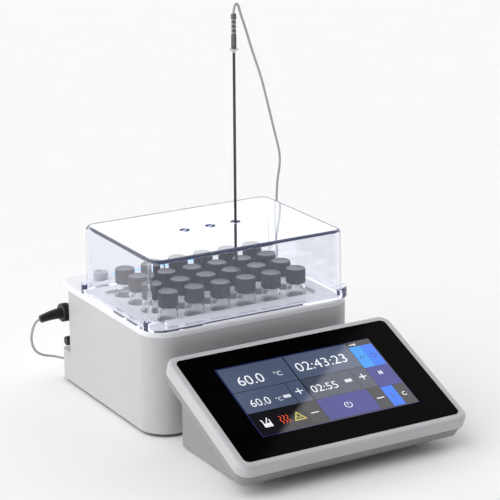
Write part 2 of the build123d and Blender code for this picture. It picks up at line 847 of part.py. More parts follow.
rubber_ys = (-foot_front_back + 12, foot_rear_back - 12)
pad_foot_spots = [(sx * (foot_w / 2 - 14), y) for sx in (-1, 1) for y in rubber_ys]


def pad_rubber_feet():
    return [rod(x, y, 0, foot_bottom, 6.0) for x, y in pad_foot_spots]


# ---------------------------------------------------------------- write every sub-part

heater_pieces = [
    housing_shell,
    top_deck,
    base_plate,
    base_screws,
    rubber_feet,
    heating_block,
    heater_mat,
    clamp_plate,
    clamp_screws,
    insulation_jacket,
    block_posts,
    block_sensor,
    thermal_fuse,
    control_board,
    board_standoffs,
    board_parts,
    power_supply,
    mains_inlet,
    inlet_pins,
    fuse_drawer,
    switch_frame,
    power_rocker,
    rod_socket,
    rod_socket_plug,
    status_light,
    light_board,
    probe_socket,
    probe_plug,
    plug_relief,
    spare_socket,
    socket_cap,
    clear_cover,
    vial_glass,
    vial_caps,
    vial_liners,
    probe_rod,
    probe_collar,
    probe_grip,
    probe_cable,
]
pad_face_pieces = [pad_bezel, pad_glass, pad_display, pad_tray, pad_board, pad_board_parts]
pad_floor_pieces = [pad_foot, pad_port, pad_rubber_feet]

for pieces, place in (
    (heater_pieces, heater_place),
    (pad_face_pieces, pad_face_place),
    (pad_floor_pieces, pad_floor_place),
):
    for piece in pieces:
        save(piece.__name__, piece(), place)
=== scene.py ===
from math import cos, hypot, pi, radians, sin

import bmesh
import bpy
from mathutils import Matrix, Vector


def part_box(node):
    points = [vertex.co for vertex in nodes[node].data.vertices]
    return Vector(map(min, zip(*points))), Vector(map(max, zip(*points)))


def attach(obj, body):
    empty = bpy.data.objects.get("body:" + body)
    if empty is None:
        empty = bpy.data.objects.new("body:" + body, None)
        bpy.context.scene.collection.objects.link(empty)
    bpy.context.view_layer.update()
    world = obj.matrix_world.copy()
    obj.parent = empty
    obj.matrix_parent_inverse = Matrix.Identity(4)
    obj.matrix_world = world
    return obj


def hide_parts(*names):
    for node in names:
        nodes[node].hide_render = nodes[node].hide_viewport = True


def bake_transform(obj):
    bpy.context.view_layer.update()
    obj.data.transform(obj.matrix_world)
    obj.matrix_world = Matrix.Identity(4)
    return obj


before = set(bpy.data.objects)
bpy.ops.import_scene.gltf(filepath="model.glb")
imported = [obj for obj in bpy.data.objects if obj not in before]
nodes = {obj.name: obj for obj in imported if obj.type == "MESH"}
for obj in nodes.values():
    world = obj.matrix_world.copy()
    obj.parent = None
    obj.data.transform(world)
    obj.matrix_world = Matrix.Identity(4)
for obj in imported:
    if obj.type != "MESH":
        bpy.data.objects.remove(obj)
bpy.context.view_layer.update()

MM = 0.001

# ---------------------------------------------------------------- places, read from the frame

block_lo, block_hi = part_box("heating_block")
cap_lo, cap_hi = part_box("vial_caps")
vial_lo, vial_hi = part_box("vial_glass")
grip_lo, grip_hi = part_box("probe_grip")
plug_lo, plug_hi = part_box("probe_plug")
GRID = Vector(((block_lo.x + block_hi.x) / 2, (block_lo.y + block_hi.y) / 2, 0))


def at(x, y, z):
    """A point given in millimetres from the middle of the vial grid, on the bench."""
    return GRID + Vector((x, y, z)) * MM


# The pad's face, in millimetres about the middle of its glass
PAD_TILT = radians(22.5)
PAD = Matrix.Translation(at(10.0, -166.2, 55.15)) @ Matrix.Rotation(PAD_TILT, 4, "X")
PAD_W, PAD_H, PAD_CORNER = 224.0, 142.0, 11.0
SEAM_TOP, SEAM_BOTTOM = -11.05, -11.85
SCREEN_W, SCREEN_H, SCREEN_UP = 154.08, 85.92, 1.7
GLASS_TOP = 0.30
VIAL_R = 8.5
CAP_R = 8.8

# ---------------------------------------------------------------- camera


def make_camera():
    data = bpy.data.cameras.new("camera")
    data.sensor_width = 36.0
    data.lens = 145.7
    data.clip_end = 40.0
    obj = bpy.data.objects.new("camera", data)
    bpy.context.scene.collection.objects.link(obj)
    eye = at(-841.86, -1520.64, 660.90)
    yaw, pitch, roll = 0.526, 0.294, -0.007
    turn = Matrix.Rotation(-yaw, 4, "Z") @ Matrix.Rotation(pi / 2 - pitch, 4, "X")
    turn = turn @ Matrix.Rotation(roll, 4, "Z")
    obj.matrix_world = Matrix.Translation(eye) @ turn
    bpy.context.scene.camera = obj


make_camera()

# ---------------------------------------------------------------- mesh helpers


def add_object(name, mesh, body, material=None):
    obj = bpy.data.objects.new(name, mesh)
    bpy.context.scene.collection.objects.link(obj)
    if material is not None:
        mesh.materials.append(material)
    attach(obj, body)
    return obj


def mesh_from(bm, name, smooth_angle=35.0):
    bmesh.ops.recalc_face_normals(bm, faces=bm.faces)
    mesh = bpy.data.meshes.new(name)
    bm.to_mesh(mesh)
    bm.free()
    for face in mesh.polygons:
        face.use_smooth = True
    mesh.set_sharp_from_angle(angle=radians(smooth_angle))
    return mesh


def lathe(bm, profile, centre, segments, ripple=None, matrix=None):
    """Turns (radius, height) points about Z at centre. Radius 0 is a pole, ripple(k, i) adds to a radius."""
    rings = []
    for k, (r, z) in enumerate(profile):
        if r <= 1e-9:
            spots = [Vector((0, 0, z))]
        else:
            spots = []
            for i in range(segments):
                a = 2 * pi * i / segments
                rr = r + (ripple(k, i) if ripple else 0.0)
                spots.append(Vector((rr * cos(a), rr * sin(a), z)))
        ring = []
        for p in spots:
            p = matrix @ p if matrix is not None else p
            ring.append(bm.verts.new(p + centre))
        rings.append(ring)
    closed = profile[0][0] > 1e-9 and profile[-1][0] > 1e-9
    pairs = list(zip(rings, rings[1:] + rings[:1])) if closed else list(zip(rings, rings[1:]))
    for a, b in pairs:
        join_rings(bm, a, b)


def join_rings(bm, a, b):
    if len(a) == 1 and len(b) == 1:
        return
    n = max(len(a), len(b))
    for i in range(n):
        j = (i + 1) % n
        if len(a) == 1:
            bm.faces.new((a[0], b[j], b[i]))
        elif len(b) == 1:
            bm.faces.new((a[i], a[j], b[0]))
        else:
            bm.faces.new((a[i], a[j], b[j], b[i]))


def tube(bm, points, radii, segments):
    """A closed tube of changing radius along points, whose section turns as little as it can."""
    tangents = []
    for i in range(len(points)):
        a = points[max(i - 1, 0)]
        b = points[min(i + 1, len(points) - 1)]
        tangents.append((b - a).normalized())
    side = tangents[0].orthogonal().normalized()
    rings = []
    for p, t, r in zip(points, tangents, radii):
        side = (side - t * side.dot(t)).normalized()
        up = t.cross(side)
        ring = []
        for i in range(segments):
            a = 2 * pi * i / segments
            ring.append(bm.verts.new(p + (side * cos(a) + up * sin(a)) * r))
        rings.append(ring)
    for a, b in zip(rings, rings[1:]):
        join_rings(bm, a, b)
    bm.faces.new(rings[0])
    bm.faces.new(rings[-1])


def plate(bm, outline, z0, z1, index=0, matrix=None):
    """A thin plate with a straight-sided outline."""
    low = [bm.verts.new(place(matrix, (x, y, z0))) for x, y in outline]
    high = [bm.verts.new(place(matrix, (x, y, z1))) for x, y in outline]
    faces = [bm.faces.new(low), bm.faces.new(high)]
    n = len(outline)
    for i in range(n):
        j = (i + 1) % n
        faces.append(bm.faces.new((low[i], low[j], high[j], high[i])))
    for face in faces:
        face.material_index = index


def place(matrix, point):
    return matrix @ Vector(point) if matrix is not None else Vector(point)


# ---------------------------------------------------------------- node helpers


def new_material(name):
    mat = bpy.data.materials.new(name)
    mat.use_nodes = True
    tree = mat.node_tree
    shader = tree.nodes["Principled BSDF"]
    return mat, tree, shader


def add(tree, kind, **values):
    node = tree.nodes.new(kind)
    for key, value in values.items():
        if key in node.inputs:
            node.inputs[key].default_value = value
        else:
            setattr(node, key, value)
    return node


def coords(tree, stretch=(1, 1, 1)):
    """Coordinates fixed to the piece, in metres, stretched along some axes."""
    texture = add(tree, "ShaderNodeTexCoord")
    mapping = add(tree, "ShaderNodeMapping")
    mapping.inputs["Scale"].default_value = stretch
    tree.links.new(texture.outputs["Object"], mapping.inputs["Vector"])
    return mapping.outputs["Vector"]


def noise(tree, vector, scale, detail=3.0, rough=0.55):
    node = add(tree, "ShaderNodeTexNoise", Scale=scale, Detail=detail, Roughness=rough)
    tree.links.new(vector, node.inputs["Vector"])
    return node.outputs["Fac"]


def ramp(tree, source, stops):
    node = add(tree, "ShaderNodeValToRGB")
    elements = node.color_ramp.elements
    while len(elements) < len(stops):
        elements.new(0.5)
    for element, (spot, colour) in zip(elements, stops):
        element.position = spot
        element.color = (*colour, 1)
    tree.links.new(source, node.inputs["Fac"])
    return node.outputs["Color"]


def spread(tree, source, low, high):
    node = add(tree, "ShaderNodeMapRange")
    node.inputs["From Min"].default_value = 0.3
    node.inputs["From Max"].default_value = 0.7
    node.inputs["To Min"].default_value = low
    node.inputs["To Max"].default_value = high
    tree.links.new(source, node.inputs["Value"])
    return node.outputs["Result"]


def bump(tree, source, strength, distance, before=None):
    node = add(tree, "ShaderNodeBump", Strength=strength, Distance=distance)
    tree.links.new(source, node.inputs["Height"])
    if before is not None:
        tree.links.new(before, node.inputs["Normal"])
    return node.outputs["Normal"]


def mixed(tree, share, a, b):
    node = add(tree, "ShaderNodeMix", data_type="RGBA")
    tree.links.new(share, node.inputs["Factor"])
    for socket, value in ((node.inputs[6], a), (node.inputs[7], b)):
        if isinstance(value, tuple):
            socket.default_value = (*value, 1)
        else:
            tree.links.new(value, socket)
    return node.outputs[2]


FINE_SHARE = 0.35
GRAIN_DEPTH = 0.00006
SCRATCH_DEPTH = 0.00002
# Colour of the painted glow that clear pieces give off.
PAINTED_GLOW_BLUE = (0.45, 0.52, 0.85, 1)


def moulded(name, dark, light, rough, grain=900.0, relief=0.25, stretch=(1, 1, 1), metal=0.0, spec=0.5):
    """Moulded, painted or sheet material: broad colour drift, fine surface grain and uneven gloss."""
    mat, tree, shader = new_material(name)
    vector = coords(tree, stretch)
    broad = noise(tree, vector, 14.0, 4.0)
    fine = noise(tree, vector, grain, 2.0)
    tone = add(tree, "ShaderNodeMath", operation="MULTIPLY_ADD")
    tree.links.new(fine, tone.inputs[0])
    tone.inputs[1].default_value = FINE_SHARE
    scaled = add(tree, "ShaderNodeMath", operation="MULTIPLY")
    tree.links.new(broad, scaled.inputs[0])
    scaled.inputs[1].default_value = 1 - FINE_SHARE
    tree.links.new(scaled.outputs[0], tone.inputs[2])
    colour = ramp(tree, tone.outputs[0], ((0.32, dark), (0.68, light)))
    tree.links.new(colour, shader.inputs["Base Color"])
    gloss = spread(tree, broad, max(rough - 0.05, 0.02), rough + 0.06)
    tree.links.new(gloss, shader.inputs["Roughness"])
    normal = bump(tree, fine, relief, GRAIN_DEPTH)
    tree.links.new(normal, shader.inputs["Normal"])
    shader.inputs["Metallic"].default_value = metal
    shader.inputs["Specular IOR Level"].default_value = spec
    return mat


def brushed(name, dark, light, rough, stretch, grain):
    return moulded(name, dark, light, rough, grain=grain, relief=0.3, stretch=stretch, metal=1.0)


def let_light_through(tree, shader):
    """Soft light reaches what is behind the glass: shadow and diffuse rays pass straight on."""
    path = add(tree, "ShaderNodeLightPath")
    either = add(tree, "ShaderNodeMath", operation="MAXIMUM")
    tree.links.new(path.outputs["Is Shadow Ray"], either.inputs[0])
    tree.links.new(path.outputs["Is Diffuse Ray"], either.inputs[1])
    open_shader = add(tree, "ShaderNodeBsdfTransparent")
    open_shader.inputs["Color"].default_value = (1, 1, 1, 1)
    chosen = add(tree, "ShaderNodeMixShader")
    tree.links.new(either.outputs[0], chosen.inputs[0])
    tree.links.new(shader.outputs[0], chosen.inputs[1])
    tree.links.new(open_shader.outputs[0], chosen.inputs[2])
    tree.links.new(chosen.outputs[0], tree.nodes["Material Output"].inputs["Surface"])


def clear(name, colour, ior, tint=None, density=0.0, glow=0.0):
    """Clear plastic or glass with faint handling marks, and a body colour that shows only along its edges.

    glow stands in for the light that is lost after many bounces inside a thick edge."""
    mat, tree, shader = new_material(name)
    vector = coords(tree)
    marks = noise(tree, vector, 60.0, 5.0, 0.65)
    scratches = noise(tree, coords(tree, (1, 9, 1)), 500.0, 2.0)
    tree.links.new(spread(tree, marks, 0.0, 0.02), shader.inputs["Roughness"])
    tree.links.new(bump(tree, scratches, 0.02, SCRATCH_DEPTH), shader.inputs["Normal"])
    faint = tuple(c * 0.985 for c in colour)
    tree.links.new(ramp(tree, marks, ((0.35, colour), (0.75, faint))), shader.inputs["Base Color"])
    shader.inputs["Transmission Weight"].default_value = 1.0
    shader.inputs["IOR"].default_value = ior
    # Painted glow: a faint blue emission over the whole piece, standing in for light lost inside thick edges.
    shader.inputs["Emission Color"].default_value = PAINTED_GLOW_BLUE
    shader.inputs["Emission Strength"].default_value = glow
    let_light_through(tree, shader)
    if tint is not None:
        body = add(tree, "ShaderNodeVolumeAbsorption")
        body.inputs["Color"].default_value = (*tint, 1)
        body.inputs["Density"].default_value = density
        tree.links.new(body.outputs[0], tree.nodes["Material Output"].inputs["Volume"])
    return mat


def lit_tile(name, low, high, strength):
    """One colour of the display: a slow drift from low to high, over the fine grid of its dots."""
    mat, tree, shader = new_material(name)
    vector = coords(tree)
    drift = noise(tree, vector, 9.0, 1.0)
    dots = add(tree, "ShaderNodeTexWave", Scale=900.0, wave_type="BANDS", bands_direction="X")
    tree.links.new(vector, dots.inputs["Vector"])
    base = ramp(tree, drift, ((0.3, low), (0.7, high)))
    share = spread(tree, dots.outputs["Fac"], 0.0, 0.08)
    darker = tuple(c * 0.6 for c in low)
    colour = mixed(tree, share, base, darker)
    unlit = mixed(tree, dots.outputs["Fac"], (0.004, 0.004, 0.005), (0.007, 0.007, 0.008))
    tree.links.new(unlit, shader.inputs["Base Color"])
    tree.links.new(colour, shader.inputs["Emission Color"])
    shader.inputs["Emission Strength"].default_value = strength
    tree.links.new(spread(tree, drift, 0.01, 0.02), shader.inputs["Roughness"])
    shader.inputs["Specular IOR Level"].default_value = 0.8
    return mat


# ---------------------------------------------------------------- materials by slot

# Each slot: dark and light colour, roughness, and what differs from a plain moulding.
MOULDED = {
    "housing_plastic": ((0.52, 0.52, 0.525), (0.57, 0.57, 0.575), 0.46, dict()),
    "deck_plastic": ((0.80, 0.80, 0.84), (0.84, 0.84, 0.88), 0.42, dict(relief=0.15)),
    "base_steel": ((0.035, 0.036, 0.040), (0.055, 0.056, 0.060), 0.5, dict(grain=1400.0, relief=0.5)),
    "rubber": ((0.012, 0.012, 0.013), (0.022, 0.022, 0.023), 0.75, dict(grain=1200.0, relief=0.6)),
    "block_aluminium": ((0.90, 0.90, 0.93), (0.95, 0.95, 0.97), 0.38, dict(grain=1600.0)),
    "silicone_mat": ((0.42, 0.10, 0.05), (0.52, 0.14, 0.07), 0.6, dict(grain=500.0, relief=0.5)),
    "insulation": ((0.62, 0.58, 0.48), (0.74, 0.70, 0.60), 0.9, dict(grain=260.0, relief=0.9)),
    "circuit_board": ((0.010, 0.09, 0.035), (0.016, 0.13, 0.05), 0.4, dict(grain=800.0)),
    "electronics_black": ((0.012, 0.012, 0.013), (0.022, 0.022, 0.024), 0.5, dict()),
    "white_nylon": ((0.72, 0.71, 0.68), (0.80, 0.79, 0.76), 0.5, dict()),
    "connector_black": ((0.004, 0.004, 0.005), (0.009, 0.009, 0.010), 0.36, dict(grain=1500.0)),
    "knob_plastic": ((0.36, 0.36, 0.38), (0.44, 0.44, 0.46), 0.4, dict()),
    "cap_plastic": ((0.008, 0.008, 0.010), (0.014, 0.014, 0.017), 0.34, dict(grain=1800.0, relief=0.3)),
    "liner_white": ((0.74, 0.73, 0.70), (0.82, 0.81, 0.79), 0.55, dict()),
    "grip_grey": ((0.115, 0.115, 0.12), (0.15, 0.15, 0.155), 0.42, dict(grain=1500.0)),
    "cable_grey": ((0.42, 0.42, 0.42), (0.50, 0.50, 0.50), 0.48, dict(grain=1500.0)),
    "bezel_plastic": ((0.53, 0.53, 0.54), (0.58, 0.58, 0.59), 0.40, dict()),
    "pad_case_plastic": ((0.29, 0.285, 0.29), (0.335, 0.33, 0.335), 0.5, dict()),
    "pad_glass": (
        (0.0008, 0.0008, 0.0009),
        (0.0014, 0.0014, 0.0016),
        0.05,
        dict(grain=60.0, relief=0.0, spec=0.02),
    ),
    "display_module": ((0.02, 0.02, 0.022), (0.03, 0.03, 0.032), 0.3, dict()),
}
# Metals: dark and light colour, roughness, stretch of the brush marks and their grain.
BRUSHED = {
    "steel": ((0.55, 0.55, 0.56), (0.68, 0.68, 0.69), 0.32, (1, 1, 12), 700.0),
    "brass_pins": ((0.72, 0.50, 0.20), (0.82, 0.60, 0.28), 0.25, (1, 14, 1), 700.0),
    "probe_steel": ((0.060, 0.048, 0.046), (0.10, 0.082, 0.08), 0.2, (1, 1, 0.06), 2600.0),
}

materials = {}
for name, (dark, light, rough, more) in MOULDED.items():
    materials[name] = moulded(name, dark, light, rough, **more)
materials |= {name: brushed(name, *values) for name, values in BRUSHED.items()}
materials["vial_glass"] = clear("vial_glass", (0.985, 0.99, 0.99), 1.5)
materials["clear_acrylic"] = clear(
    "clear_acrylic",
    (0.965, 0.967, 0.975),
    1.49,
    tint=(0.45, 0.55, 0.92),
    density=14.0,
    glow=0.022,
)


def light_guide():
    """The lit strip, brighter towards its lamps."""
    mat, tree, shader = new_material("light_guide")
    vector = coords(tree)
    wave = add(tree, "ShaderNodeTexWave", Scale=11.0, wave_type="BANDS", bands_direction="X")
    tree.links.new(vector, wave.inputs["Vector"])
    colour = ramp(tree, wave.outputs["Fac"], ((0.0, (0.07, 0.36, 0.85)), (1.0, (0.16, 0.55, 1.0))))
    tree.links.new(colour, shader.inputs["Base Color"])
    tree.links.new(colour, shader.inputs["Emission Color"])
    shader.inputs["Emission Strength"].default_value = 1.1
    tree.links.new(spread(tree, wave.outputs["Fac"], 0.3, 0.4), shader.inputs["Roughness"])
    return mat


materials["light_guide"] = light_guide()

for obj in nodes.values():
    for i, slot in enumerate(obj.material_slots):
        slot.material = materials[slot.material.name.split(".")[0]] if slot.material else None
nodes["probe_collar"].material_slots[0].material = materials["steel"]

# ---------------------------------------------------------------- probe cable

CABLE_ROUTE = [
    (26.0, 0.0, 346.5),
    (26.0, 0.0, 350.5),
    (28.39, 0.87, 355.0),
    (32.39, 2.94, 353.6),
    (36.16, 5.56, 344.6),
    (44.02, 11.99, 332.0),
    (60.03, 25.51, 304.0),
    (78.51, 42.51, 277.5),
    (96.53, 59.95, 244.0),
    (114.47, 78.04, 211.5),
    (127.49, 91.02, 189.0),
    (132.03, 98.54, 174.0),
    (132.03, 103.99, 157.0),
    (134.5, 110.0, 122.0),
    (139.5, 114.5, 78.0),
    (143.5, 122.0, 38.0),
    (138.0, 136.0, 10.0),
    (118.0, 152.0, 1.25),
    (84.05, 166.0, 1.3),
    (39.96, 172.0, 1.25),
    (-8.03, 166.0, 1.3),
    (-49.95, 153.0, 1.3),
    (-80.0, 137.0, 4.0),
    (-96.0, 122.0, 13.0),
    (-108.0, 110.0, 20.5),
    (-120.0, 102.0, 25.5),
    (-131.0, 98.0, 32.0),
    (-136.0, 96.5, 43.0),
    (-135.0, 96.1, 54.0),
    (-130.56, 96.0, 63.09),
    (-126.6, 96.0, 63.65),
]
CABLE_R = 1.15 * MM


def read_spline(points, resolution):
    """The points of a smooth curve whose control points these are."""
    curve = bpy.data.curves.new("route", "CURVE")
    curve.dimensions = "3D"
    curve.resolution_u = resolution
    spline = curve.splines.new("NURBS")
    spline.points.add(len(points) - 1)
    for target, p in zip(spline.points, points):
        target.co = (*p, 1.0)
    spline.order_u = 3
    spline.use_endpoint_u = True
    holder = bpy.data.objects.new("route", curve)
    bpy.context.scene.collection.objects.link(holder)
    bpy.context.view_layer.update()
    line = bpy.data.meshes.new_from_object(holder)
    found = [v.co.copy() for v in line.vertices]
    bpy.data.objects.remove(holder)
    bpy.data.curves.remove(curve)
    bpy.data.meshes.remove(line)
    return found


def make_cable():
    line = read_spline([at(*p) for p in CABLE_ROUTE], 12)
    bm = bmesh.new()
    tube(bm, line, [CABLE_R] * len(line), 20)
    mesh = mesh_from(bm, "cable_line", 60)
    mesh.materials.append(materials["cable_grey"])
    obj = bpy.data.objects.new("cable_line", mesh)
    bpy.context.scene.collection.objects.link(obj)
    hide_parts("probe_cable")
    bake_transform(obj)
    return obj, line


cable, cable_points = make_cable()

# ---------------------------------------------------------------- plug, its relief and the grip


def make_relief():
    """The ribbed, tapered relief behind the plug, drooping a little under the cable's pull."""
    start = Vector((plug_lo.x, (plug_lo.y + plug_hi.y) / 2, (plug_lo.z + plug_hi.z) / 2))
    end = at(*CABLE_ROUTE[-1])
    points, radii = [start + Vector((3.0 * MM, 0, 0))], [4.5 * MM]
    ribs = 9
    steps = [(0.0, -0.75), (0.08, 0.0), (0.5, 0.0), (0.6, -0.75), (0.92, -0.75)]
    for k in range(ribs):
        for share, drop in steps:
            t = (k + share) / ribs
            rise = 0.5 * MM * sin(pi * t)
            points.append(start.lerp(end, t) + Vector((0, 0, rise)))
            radii.append((5.2 - 1.6 * t + drop) * MM)
    points.append(end)
    radii.append(2.6 * MM)
    bm = bmesh.new()
    tube(bm, points, radii, 40)
    mesh = mesh_from(bm, "relief_ribbed", 30)
    obj = add_object("relief_ribbed", mesh, "heater", materials["connector_black"])
    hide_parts("plug_relief")
    return obj


def make_plug():
    """The plug's moulded body: a knurled ring, a plain barrel and the nose in its socket."""
    y = (plug_lo.y + plug_hi.y) / 2
    z = (plug_lo.z + plug_hi.z) / 2
    big = (plug_hi.z - plug_lo.z) / 2
    length = plug_hi.x - plug_lo.x
    profile = [
        (0.0, 0.0),
        (big - 2.4 * MM, 0.0),
        (big - 1.2 * MM, 0.3 * MM),
        (big, 1.5 * MM),
        (big, 7.4 * MM),
        (big - 0.5 * MM, 8.0 * MM),
        (big - 1.3 * MM, 8.2 * MM),
        (big - 1.3 * MM, 9.2 * MM),
        (big - 0.9 * MM, 9.5 * MM),
        (big - 0.9 * MM, 19.4 * MM),
        (big - 1.5 * MM, 20.0 * MM),
        (5.0 * MM, 20.0 * MM),
        (5.0 * MM, length),
        (0.0, length),
    ]

    def knurl(k, i):
        return -0.35 * MM if k in (3, 4) and i % 4 < 2 else 0.0

    bm = bmesh.new()
    turn = Matrix.Rotation(pi / 2, 4, "Y")
    lathe(bm, profile, Vector((plug_lo.x, y, z)), 96, knurl, turn)
    mesh = mesh_from(bm, "plug_body", 30)
    obj = add_object("plug_body", mesh, "heater", materials["connector_black"])
    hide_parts("probe_plug")
    return obj


def make_grip():
    """The probe's grip: a lower sleeve, a coiled neck and a square-cut head."""
    base = Vector(((grip_lo.x + grip_hi.x) / 2, (grip_lo.y + grip_hi.y) / 2, grip_lo.z))
    height = (grip_hi.z - grip_lo.z) / MM
    coil_pitch = 3.9
    profile = [(0.0, 0.0), (2.1, 0.0), (2.4, 0.4), (2.4, 11.4), (2.1, 12.2), (1.75, 13.4)]
    for k in range(3):
        z = 14.6 + coil_pitch * k
        profile += [(1.75, z), (2.05, z + 0.2), (2.25, z + 0.8), (2.05, z + 1.4), (1.75, z + 1.6)]
    profile += [(1.75, 25.2), (2.2, 25.6), (2.4, 26.0), (2.4, height - 0.5), (2.0, height), (0.0, height)]
    bm = bmesh.new()
    lathe(bm, [(r * MM, z * MM) for r, z in profile], base, 48)
    mesh = mesh_from(bm, "grip_turned", 40)
    obj = add_object("grip_turned", mesh, "probe", materials["grip_grey"])
    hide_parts("probe_grip")
    bm = bmesh.new()
    for k in range(4):
        z = 13.3 + coil_pitch * k
        ring = [(1.6, z), (2.32, z + 0.1), (2.42, z + 0.5), (2.32, z + 0.9), (1.6, z + 1.0)]
        lathe(bm, [(r * MM, h * MM) for r, h in ring], base, 48)
    add_object("grip_rings", mesh_from(bm, "grip_rings", 40), "probe", materials["cable_grey"])


relief = make_relief()
plug = make_plug()
make_grip()

# ---------------------------------------------------------------- stage and light


def make_stage():
    bm = bmesh.new()
    size = 14.0
    bmesh.ops.create_grid(bm, x_segments=8, y_segments=8, size=size)
    mesh = bpy.data.meshes.new("floor")
    bm.to_mesh(mesh)
    bm.free()
    floor = bpy.data.objects.new("floor", mesh)
    floor.location.z = -0.0002
    bpy.context.scene.collection.objects.link(floor)
    paper = moulded("floor_paper", (0.95, 0.95, 0.945), (0.965, 0.965, 0.96), 0.85, grain=300.0, relief=0.0)
    mesh.materials.append(paper)


def card_normal():
    """The normal of the plane through the screen's diagonal, as the camera sees it mirrored in the glass."""
    face = PAD.to_3x3() @ Vector((0, 0, 1))
    eye = bpy.context.scene.camera.matrix_world.translation
    mirrored = eye - face * 2 * (eye - PAD.translation).dot(face)
    corners = [PAD @ Vector((x * MM, y * MM, 0)) for x, y in ((-66.0, -41.3), (70.0, 60.0))]
    return (corners[1] - mirrored).cross(corners[0] - mirrored).normalized()


def make_sky():
    """Soft light from all round, stronger at the left and weak at the front.

    A dark flag high at the back keeps the pad's glass black. A lit card covers half of the flag, and the
    display shows its edge as a pale slanting veil."""
    world = bpy.data.worlds.new("studio")
    bpy.context.scene.world = world
    world.use_nodes = True
    tree = world.node_tree
    background = tree.nodes["Background"]
    texture = tree.nodes.new("ShaderNodeTexCoord")

    def toward(direction, start, end):
        """1 inside a cone round direction, falling to 0: start and end are cosines."""
        dot = tree.nodes.new("ShaderNodeVectorMath")
        dot.operation = "DOT_PRODUCT"
        tree.links.new(texture.outputs["Generated"], dot.inputs[0])
        dot.inputs[1].default_value = Vector(direction).normalized()
        ease = tree.nodes.new("ShaderNodeMapRange")
        ease.interpolation_type = "SMOOTHSTEP"
        ease.inputs["From Min"].default_value = end
        ease.inputs["From Max"].default_value = start
        tree.links.new(dot.outputs["Value"], ease.inputs["Value"])
        return ease.outputs["Result"]

    def blend_to(share, below, above):
        node = tree.nodes.new("ShaderNodeMix")
        node.data_type = "RGBA"
        tree.links.new(share, node.inputs["Factor"])
        if isinstance(below, tuple):
            node.inputs[6].default_value = (*below, 1)
        else:
            tree.links.new(below, node.inputs[6])
        node.inputs[7].default_value = (*above, 1)
        return node.outputs[2]

    all_round, left_side = (1.52, 1.52, 1.53), (1.75, 1.75, 1.77)
    front_shade, flag_black, card_white = (0.08, 0.08, 0.095), (0.03, 0.03, 0.035), (1.3, 1.27, 1.28)
    light = blend_to(toward((-0.75, -0.3, 0.6), 0.95, 0.3), all_round, left_side)
    light = blend_to(toward((0.25, -1.0, 0.12), 0.72, 0.15), light, front_shade)
    flag = toward((0.236, 0.408, 0.88), 0.93, 0.90)
    light = blend_to(flag, light, flag_black)
    card = tree.nodes.new("ShaderNodeMath")
    card.operation = "MULTIPLY"
    tree.links.new(flag, card.inputs[0])
    tree.links.new(toward(card_normal(), 0.004, 0.0), card.inputs[1])
    light = blend_to(card.outputs[0], light, card_white)
    tree.links.new(light, background.inputs["Color"])
    background.inputs["Strength"].default_value = 1.0


make_stage()
make_sky()
bpy.context.scene.view_settings.view_transform = "Standard"

# ---------------------------------------------------------------- vials

COLUMNS = 6
ROWS = 4
PITCH = 26.0
grid_spots = [
    (PITCH * (i - (COLUMNS - 1) / 2), PITCH * (j - (ROWS - 1) / 2))
    for j in range(ROWS)
    for i in range(COLUMNS)
]


def make_caps():
    """Screw caps: fine upright ribs, a rounded shoulder and a slightly dished satin top."""
    bottom, top = cap_lo.z / MM, cap_hi.z / MM
    outer = CAP_R
    inner = 6.45
    liner_top = 117.4
    profile = [
        (inner, bottom),
        (outer - 0.5, bottom),
        (outer - 0.15, bottom + 0.3),
        (outer - 0.05, bottom + 1.0),
        (outer, bottom + 1.3),
        (outer, top - 1.7),
        (outer - 0.05, top - 1.4),
        (outer - 0.12, top - 0.75),
        (outer - 0.4, top - 0.28),
        (outer - 0.9, top),
        (outer - 1.5, top),
        (outer - 1.9, top - 0.12),
        (3.0, top - 0.18),
        (0.0, top - 0.2),
    ]
    inside = [(0.0, liner_top), (inner, liner_top), (inner, bottom)]

    def ribs(k, i):
        return -0.32 * MM if k in (4, 5) and i % 4 < 2 else 0.0

    bm = bmesh.new()
    for x, y in grid_spots:
        lathe(bm, [(r * MM, z * MM) for r, z in profile], at(x, y, 0), 144, ribs)
        lathe(bm, [(r * MM, z * MM) for r, z in inside], at(x, y, 0), 144)
    bmesh.ops.remove_doubles(bm, verts=bm.verts, dist=1e-6)
    mesh = mesh_from(bm, "caps_ribbed", 25)
    obj = add_object("caps_ribbed", mesh, "vials", materials["cap_plastic"])
    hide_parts("vial_caps")


def make_bottles():
    """Clear bottles with a heavy rounded base, soft shoulders and a turn of thread."""
    bottom, top = vial_lo.z / MM, vial_hi.z / MM
    r, wall, neck = VIAL_R, 1.0, 6.3
    shoulder = 101.8
    outer = [
        (0.0, bottom + 0.7),
        (5.5, bottom + 0.4),
        (6.8, bottom),
        (7.8, bottom + 0.25),
        (8.3, bottom + 0.8),
        (r, bottom + 1.8),
        (r, shoulder - 1.0),
        (8.35, shoulder),
        (7.9, shoulder + 0.8),
        (7.1, shoulder + 1.5),
        (6.5, shoulder + 2.2),
        (neck - 0.1, shoulder + 3.0),
        (neck - 0.1, top - 9.0),
        (neck, top - 8.4),
        (neck - 0.1, top - 7.8),
        (neck - 0.1, top - 0.3),
        (neck - 0.4, top),
    ]
    inner = [
        (neck - wall, top),
        (neck - wall - 0.1, shoulder + 3.0),
        (5.4, shoulder + 2.0),
        (6.2, shoulder + 1.0),
        (7.0, shoulder + 0.2),
        (r - wall - 0.1, shoulder - 0.8),
        (r - wall, shoulder - 2.0),
        (r - wall, bottom + 3.4),
        (6.9, bottom + 2.4),
        (5.8, bottom + 1.9),
        (0.0, bottom + 2.0),
    ]
    bm = bmesh.new()
    for x, y in grid_spots:
        lathe(bm, [(a * MM, z * MM) for a, z in outer + inner], at(x, y, 0), 64)
    obj = add_object("bottles", mesh_from(bm, "bottles", 50), "vials", materials["vial_glass"])
    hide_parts("vial_glass")


make_caps()
make_bottles()

# ---------------------------------------------------------------- the pad's screen

